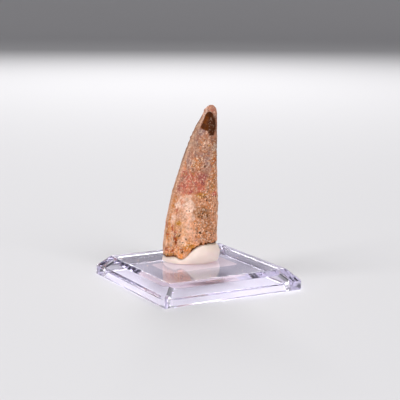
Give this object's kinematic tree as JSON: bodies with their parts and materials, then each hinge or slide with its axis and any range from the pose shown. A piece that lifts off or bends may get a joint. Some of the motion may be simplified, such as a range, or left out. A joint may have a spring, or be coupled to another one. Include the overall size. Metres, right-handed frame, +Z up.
{
  "type": "fossil spinosaurus tooth on stand",
  "caption": "Fossil spinosaurus tooth, a tapering curved crown with a broken root end, set upright in putty on a low square clear display base.",
  "frame": {"origin": "centre of the clear base's underside, on the surface it stands on", "axes": "+Z up through the tooth, X and Y along the sides of the square base, with the tooth's broad near face turned 29.3 degrees from -Y towards -X"},
  "size_m": [0.06, 0.06, 0.0701],
  "materials": {
    "clear_plastic": "polished clear moulded polystyrene",
    "label_paper": "matt blank paper, stuck on from below",
    "mounting_putty": "soft cream putty, pressed by hand",
    "fossil_enamel": "mineralised enamel, pink to orange brown, with sandy crust"
  },
  "bodies": {
    "root": {"base": "clear_plastic", "label": "label_paper", "putty": "mounting_putty", "tooth": "fossil_enamel"}
  },
  "joints": []
}
